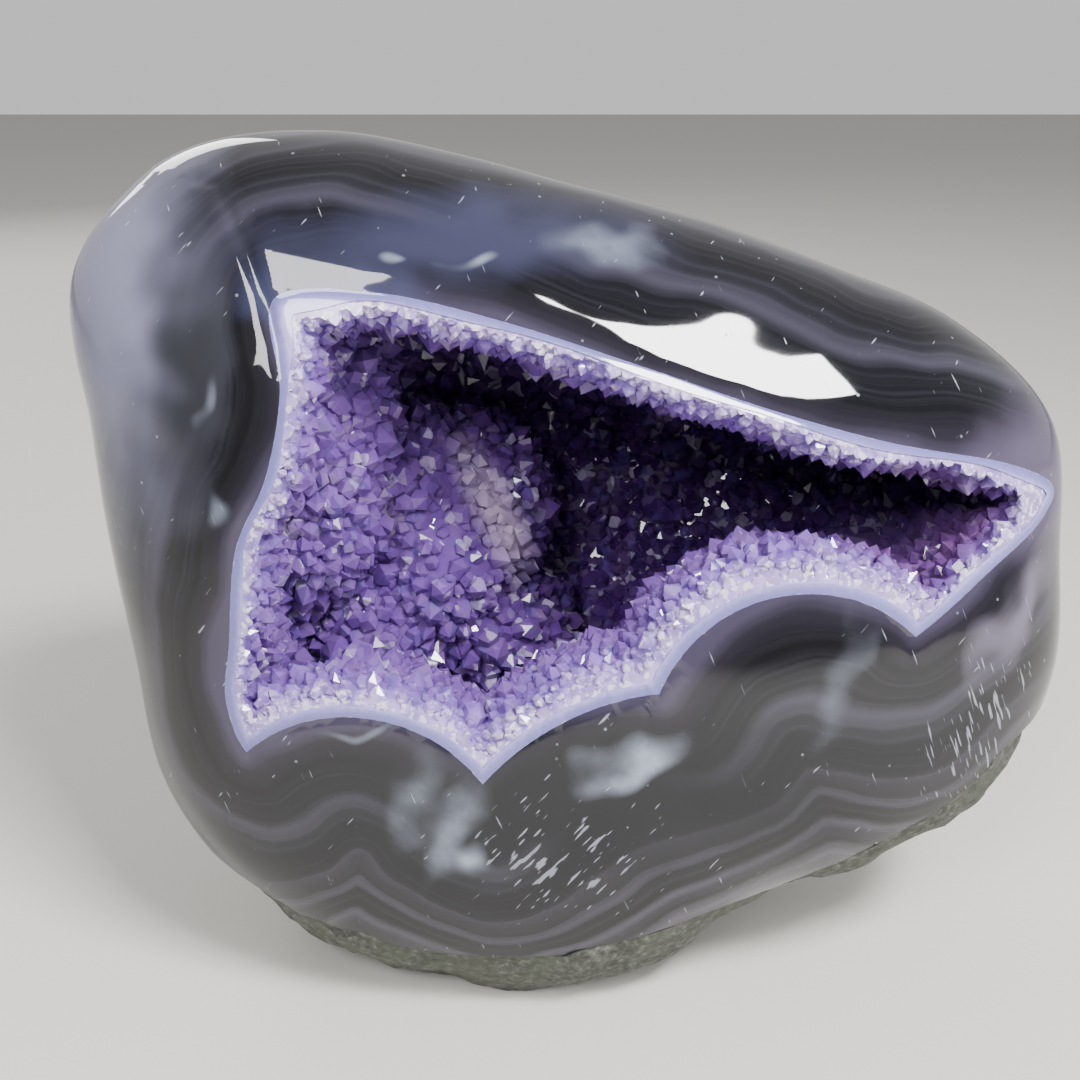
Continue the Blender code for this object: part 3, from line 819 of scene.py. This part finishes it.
def amethyst_material():
    """Amethyst, quartz coloured by iron: clear purple in the points, white and sugary at the roots.

    The polished mouth shows the roots, so the colour deepens with the depth behind it; its darkest stops,
    deep in the hollow, are also painted shade.
    """
    material, tree, shader = new_material("amethyst quartz")
    place = leaning_place(tree)
    behind = add(tree, "ShaderNodeAttribute", attribute_name="behind_face_mm").outputs["Fac"]
    patchy = add(tree, "ShaderNodeTexNoise",
                 {"Vector": place, "Scale": 1 / 4, "Detail": 2.0}).outputs["Fac"]
    level = add(tree, "ShaderNodeMath", {0: patchy, 1: 6.0, 2: behind}, operation="MULTIPLY_ADD").outputs[0]
    share = add(tree, "ShaderNodeMath", {0: level, 1: 80.0}, operation="DIVIDE").outputs[0]
    # Pale roots at the mouth and deeper purple inside; the darkest colours, deepest in the hollow, are
    # painted shade.
    colour = add(tree, "ShaderNodeValToRGB", {"Fac": share}, stops=(
        (0.040, srgb("#c6b1eb")), (0.068, srgb("#9e82d2")), (0.105, srgb("#8b69bf")),
        (0.18, srgb("#8360ad")),
        (0.40, srgb("#7755a1")), (0.56, srgb("#65448a")), (0.80, srgb("#3c1f58")))).outputs["Color"]

    # Each crystal has its own depth of colour
    grains = add(tree, "ShaderNodeTexVoronoi", {"Vector": place, "Scale": 1 / 2.4}).outputs["Color"]
    single, tint = add(tree, "ShaderNodeSeparateColor", {"Color": grains}).outputs[:2]
    mauve = add(tree, "ShaderNodeMapRange",
                {"Value": tint, "From Min": 0.5, "From Max": 1.0, "To Max": 0.45}).outputs[0]
    colour = add(tree, "ShaderNodeMix", {0: mauve, 6: colour, 7: srgb("#785c8a")},
                 data_type="RGBA").outputs[2]
    bluish = add(tree, "ShaderNodeMapRange",
                 {"Value": patchy, "From Min": 0.55, "From Max": 0.7, "To Max": 0.5}).outputs[0]
    colour = add(tree, "ShaderNodeMix", {0: bluish, 6: colour, 7: srgb("#5f5a9e")},
                 data_type="RGBA").outputs[2]
    inside = add(tree, "ShaderNodeMapRange", {"Value": behind, "From Min": 1.0, "From Max": 8.0}).outputs[0]
    dark = add(tree, "ShaderNodeMapRange",
               {"Value": single, "From Min": 0.5, "From Max": 1.0, "To Max": 0.55}).outputs[0]
    dark = add(tree, "ShaderNodeMath", {0: dark, 1: inside}, operation="MULTIPLY").outputs[0]
    colour = add(tree, "ShaderNodeMix", {0: dark, 6: colour, 7: srgb("#5a3788")},
                 data_type="RGBA").outputs[2]
    # Painted glints: a few crystals are painted pale grey-lilac, standing in for the white sparkle of
    # facets that catch the lamps.
    pale = add(tree, "ShaderNodeMapRange",
               {"Value": single, "From Min": 0.10, "From Max": 0.05, "To Max": 0.45}).outputs[0]
    colour = add(tree, "ShaderNodeMix", {0: pale, 6: colour, 7: srgb("#cdc2e2")},
                 data_type="RGBA").outputs[2]
    # Painted highlight: a pale pink-white streak down the right crest of the lump left of the middle,
    # standing in for the light that catches it.
    ridge_highlight = add(tree, "ShaderNodeMapping",
                {"Vector": place, "Location": (-11, -6, 2), "Rotation": (0, math.radians(-28), 0),
                 "Scale": (5, 9, 22)}, vector_type="TEXTURE").outputs[0]
    ridge_highlight = add(tree, "ShaderNodeVectorMath", {0: ridge_highlight}, operation="LENGTH").outputs["Value"]
    ridge_highlight = add(tree, "ShaderNodeMapRange",
                {"Value": ridge_highlight, "From Min": 1.2, "From Max": 0.3, "To Max": 0.75}).outputs[0]
    colour = add(tree, "ShaderNodeMix", {0: ridge_highlight, 6: colour, 7: srgb("#c9b4d2")},
                 data_type="RGBA").outputs[2]
    reddish = patch(tree, place, (72, 6), (34, 26), 0, 60)
    reddish = add(tree, "ShaderNodeMath", {0: reddish, 1: inside}, operation="MULTIPLY").outputs[0]
    reddish = add(tree, "ShaderNodeMath", {0: reddish, 1: 0.7}, operation="MULTIPLY").outputs[0]
    colour = add(tree, "ShaderNodeMix", {0: reddish, 6: colour, 7: srgb("#5a3058")},
                 data_type="RGBA").outputs[2]

    # Sugary white grains where the saw cut the roots
    sugar = add(tree, "ShaderNodeTexNoise",
                {"Vector": place, "Scale": 1 / 1.1, "Detail": 1.0}).outputs["Fac"]
    sugar = add(tree, "ShaderNodeMapRange",
                {"Value": sugar, "From Min": 0.555, "From Max": 0.59}).outputs[0]
    rim = add(tree, "ShaderNodeMapRange", {"Value": level, "From Min": 7.0, "From Max": 3.5}).outputs[0]
    sugar = add(tree, "ShaderNodeMath", {0: sugar, 1: rim}, operation="MULTIPLY").outputs[0]
    colour = add(tree, "ShaderNodeMix", {0: sugar, 6: colour, 7: srgb("#eae2f8")},
                 data_type="RGBA").outputs[2]
    tree.links.new(colour, shader.inputs["Base Color"])
    shader.inputs["Roughness"].default_value = 0.04
    shader.inputs["IOR"].default_value = 1.544
    shader.inputs["Transmission Weight"].default_value = 0.3
    depth = add(tree, "ShaderNodeVolumeAbsorption", {"Color": (0.66, 0.42, 0.84, 1), "Density": 90.0})
    tree.links.new(depth.outputs["Volume"], tree.nodes["Material Output"].inputs["Volume"])
    return material


crust.data.shade_flat()
crust_places = to_leaning(vertex_places(crust.data))
paint(crust.data, "behind_face_mm", crust_places[:, 2] - face_depth(crust_places[:, 0], crust_places[:, 1]))
crust.data.materials.clear()
crust.data.materials.append(amethyst_material())
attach(crust, "root")
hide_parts("amethyst_crust")

# The rough underside
# A skin of the altered grey-green basalt that the nodule grew in, left on where the stone stands and
# ground flat in one spot. Its edge is chipped where the polishing wheel stopped.
# Broken steps: how high, and how long
BREAKS = ((1.6, 16), (0.6, 6), (0.45, 2.4))
SKIN_AROUND, SKIN_RINGS = 320, 160
ROCK_EDGE = math.radians(40)
FIT = 0.3


def rough_relief(abc):
    """Broken rock: the lumps of the solid, with finer steps over them."""
    world = to_world(abc)
    return sum(height * soft_noise(world, size) for height, size in BREAKS)


rind = nodule_form("rock_skin", SKIN_SET_BACK, SKIN_AROUND, SKIN_RINGS, relief=rough_relief)
for cutter, operation in ((underside_block("skin top", FIT), "INTERSECT"),
                          (core_form("core with gap", SKIN - FIT), "DIFFERENCE"),
                          (block_below("resting plane", 0), "DIFFERENCE")):
    carve(rind, cutter, operation)
    drop(cutter)
rind.data.shade_smooth()
rind.data.set_sharp_from_angle(angle=ROCK_EDGE)


def rock_material():
    """Altered basalt with celadonite: dull, grainy grey-green; the grain that bumps it also darkens its low
    spots, painted shade in its hollows.
    """
    material, tree, shader = new_material("rough grey-green basalt")
    place = leaning_place(tree)
    grain = add(tree, "ShaderNodeTexNoise", {"Vector": place, "Scale": 1 / 1.6, "Detail": 8.0,
                                             "Roughness": 0.65}).outputs["Fac"]
    # The rock's own mottled grey and, from the same grain as the bump, painted shade: where the bump dips,
    # the colour goes nearly black.
    colour = add(tree, "ShaderNodeValToRGB", {"Fac": grain}, stops=(
        (0.30, srgb("#1f201d")), (0.48, srgb("#3f413b")), (0.60, srgb("#585a53")),
        (0.74, srgb("#8b8c83")))).outputs["Color"]
    broad = add(tree, "ShaderNodeTexNoise",
                {"Vector": place, "Scale": 1 / 12, "Detail": 4.0}).outputs["Fac"]
    green = add(tree, "ShaderNodeMapRange",
                {"Value": broad, "From Min": 0.45, "From Max": 0.65, "To Max": 0.5}).outputs[0]
    colour = add(tree, "ShaderNodeMix", {0: green, 6: colour, 7: srgb("#4c5144")},
                 data_type="RGBA").outputs[2]
    tree.links.new(colour, shader.inputs["Base Color"])
    bump = add(tree, "ShaderNodeBump", {"Height": grain, "Distance": 0.6 * MM, "Strength": 0.9}).outputs[0]
    tree.links.new(bump, shader.inputs["Normal"])
    shader.inputs["Roughness"].default_value = 0.75
    return material


rind.data.materials.clear()
rind.data.materials.append(rock_material())
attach(rind, "root")
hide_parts("rock_rind")

for helper in (hollow_wall, band_inside, flush, druse_floor):
    drop(helper)

# The camera, at the photograph's viewing angle
# Close to the stone and a little above it, looking 20 degrees down.
CAMERA_PITCH = math.radians(20)
CAMERA_DISTANCE = 0.290
CAMERA_AIM_HEIGHT = 0.082
CAMERA_HALF_VIEW = math.radians(21)
camera_data = bpy.data.cameras.new("camera")
camera_data.sensor_width = 36
camera_data.lens = camera_data.sensor_width / 2 / math.tan(CAMERA_HALF_VIEW)
camera_data.clip_start = 0.01
camera = bpy.data.objects.new("camera", camera_data)
bpy.context.scene.collection.objects.link(camera)
camera.location = (0, -CAMERA_DISTANCE * math.cos(CAMERA_PITCH),
                   CAMERA_AIM_HEIGHT + CAMERA_DISTANCE * math.sin(CAMERA_PITCH))
camera.rotation_euler = (math.pi / 2 - CAMERA_PITCH, 0, 0)
bpy.context.scene.camera = camera

# The floor and the light
# A plain pale floor and soft studio lights: a small key, a broad one in front, a fill and one behind.
bm = bmesh.new()
bmesh.ops.create_grid(bm, x_segments=1, y_segments=1, size=3)
floor = mesh_object(bm, "floor")
paper = bpy.data.materials.new("pale matt floor")
paper.use_nodes = True
paper.node_tree.nodes["Principled BSDF"].inputs["Base Color"].default_value = srgb("#c6c3bd")
paper.node_tree.nodes["Principled BSDF"].inputs["Roughness"].default_value = 0.7
floor.data.materials.append(paper)


LIGHT_AIM = (0, 0, 0.08)


def soft_light(name, place, width, height, power):
    """A rectangular lamp, its sizes in metres and its power in watts, turned to the stone."""
    lamp = bpy.data.lights.new(name, "AREA")
    lamp.shape = "RECTANGLE"
    lamp.size, lamp.size_y = width, height
    lamp.energy = power
    holder = bpy.data.objects.new(name, lamp)
    bpy.context.scene.collection.objects.link(holder)
    holder.location = place
    holder.rotation_euler = (Vector(place) - Vector(LIGHT_AIM)).to_track_quat("Z", "Y").to_euler()
    return holder


soft_light("key, above right", (0.33, -0.42, 0.75), 0.28, 0.18, 15)
soft_light("broad, front left", (-0.42, -0.92, 0.84), 0.42, 0.48, 13)
fill = soft_light("fill, right", (0.75, -0.55, 0.45), 0.5, 0.5, 8)
fill.visible_glossy = False
soft_light("behind, left", (-0.55, 0.95, 0.60), 0.5, 0.4, 5)

# The studio is brighter behind the stone than in front of it
world = bpy.data.worlds.new("pale studio")
world.use_nodes = True
studio = world.node_tree
towards = add(studio, "ShaderNodeTexCoord").outputs["Generated"]
back = add(studio, "ShaderNodeSeparateXYZ", {"Vector": towards}).outputs["Y"]
strength = add(studio, "ShaderNodeMapRange", {"Value": back, "From Min": -0.3, "From Max": 0.6,
                                              "To Min": 0.31, "To Max": 0.9}).outputs[0]
studio.links.new(strength, studio.nodes["Background"].inputs["Strength"])
studio.nodes["Background"].inputs["Color"].default_value = srgb("#e6e5e6")
bpy.context.scene.world = world
